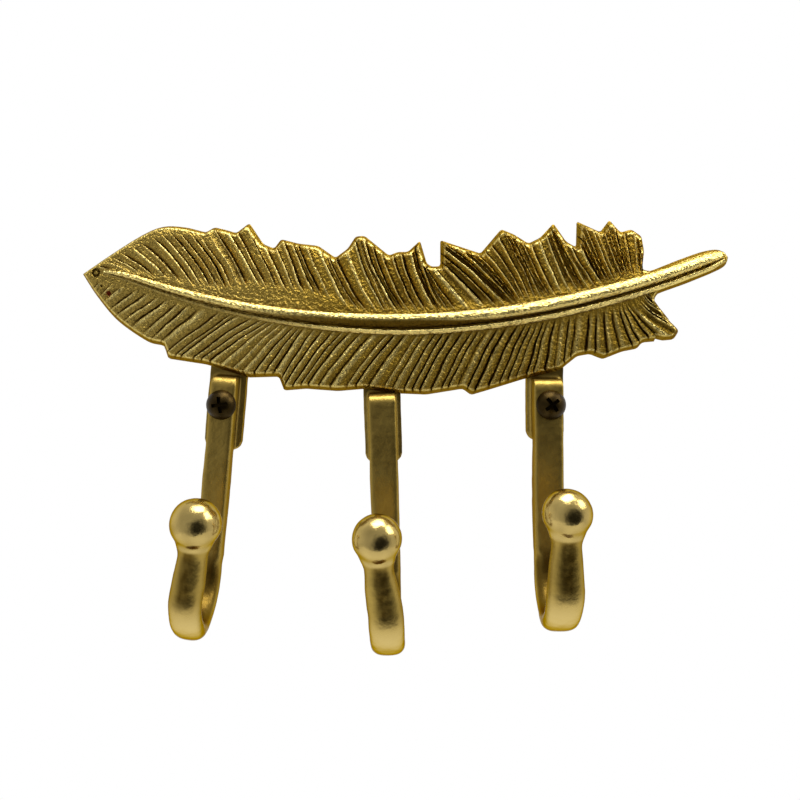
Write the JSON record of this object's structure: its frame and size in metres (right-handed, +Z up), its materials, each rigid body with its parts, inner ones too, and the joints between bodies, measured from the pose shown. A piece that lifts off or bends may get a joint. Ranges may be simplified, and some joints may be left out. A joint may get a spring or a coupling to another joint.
{
  "type": "triple wall hook",
  "caption": "Cast brass wall hook rail shaped as a feather lying on its side, with ball-ended J hooks standing out below its lower edge for coats, towels or keys.",
  "frame": {"origin": "on the wall plane, midway between the two wall screws", "axes": "+X to the quill end of the feather, +Y into the wall along the screws, +Z up"},
  "size_m": [0.2026, 0.0637, 0.1308],
  "materials": {
    "cast_brass": "polished casting, darkened in the grooves",
    "screw_brass": "antiqued"
  },
  "bodies": {
    "root": {"feather_plate": "cast_brass", "left_hook": "cast_brass", "middle_hook": "cast_brass", "right_hook": "cast_brass", "wall_screws": "screw_brass"}
  },
  "joints": []
}
